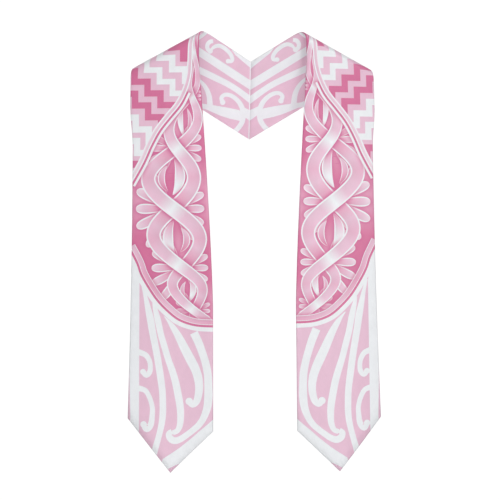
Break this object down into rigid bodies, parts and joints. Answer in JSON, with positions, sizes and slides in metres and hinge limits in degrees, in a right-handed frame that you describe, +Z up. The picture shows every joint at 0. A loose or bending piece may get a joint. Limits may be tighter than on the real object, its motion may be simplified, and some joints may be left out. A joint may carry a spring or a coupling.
{
  "type": "graduation stole",
  "caption": "Long two-layer satin sash that lies over both shoulders, with pointed front ends, a V seam at the back of the neck and a printed pink and white pattern.",
  "frame": {"origin": "midway between the two shoulder folds, at the height of their middles, where the shoulders carry the stole", "axes": "+Z up, +Y towards the wearer's back, +X towards the right-hand panel seen from the front"},
  "size_m": [0.386, 0.1622, 0.679],
  "materials": {
    "face_satin": "printed polyester satin, soft sheen",
    "lining_satin": "printed polyester satin, soft sheen"
  },
  "bodies": {
    "root": {"left_face": "face_satin", "left_lining": "lining_satin", "right_face": "face_satin", "right_lining": "lining_satin"}
  },
  "joints": []
}
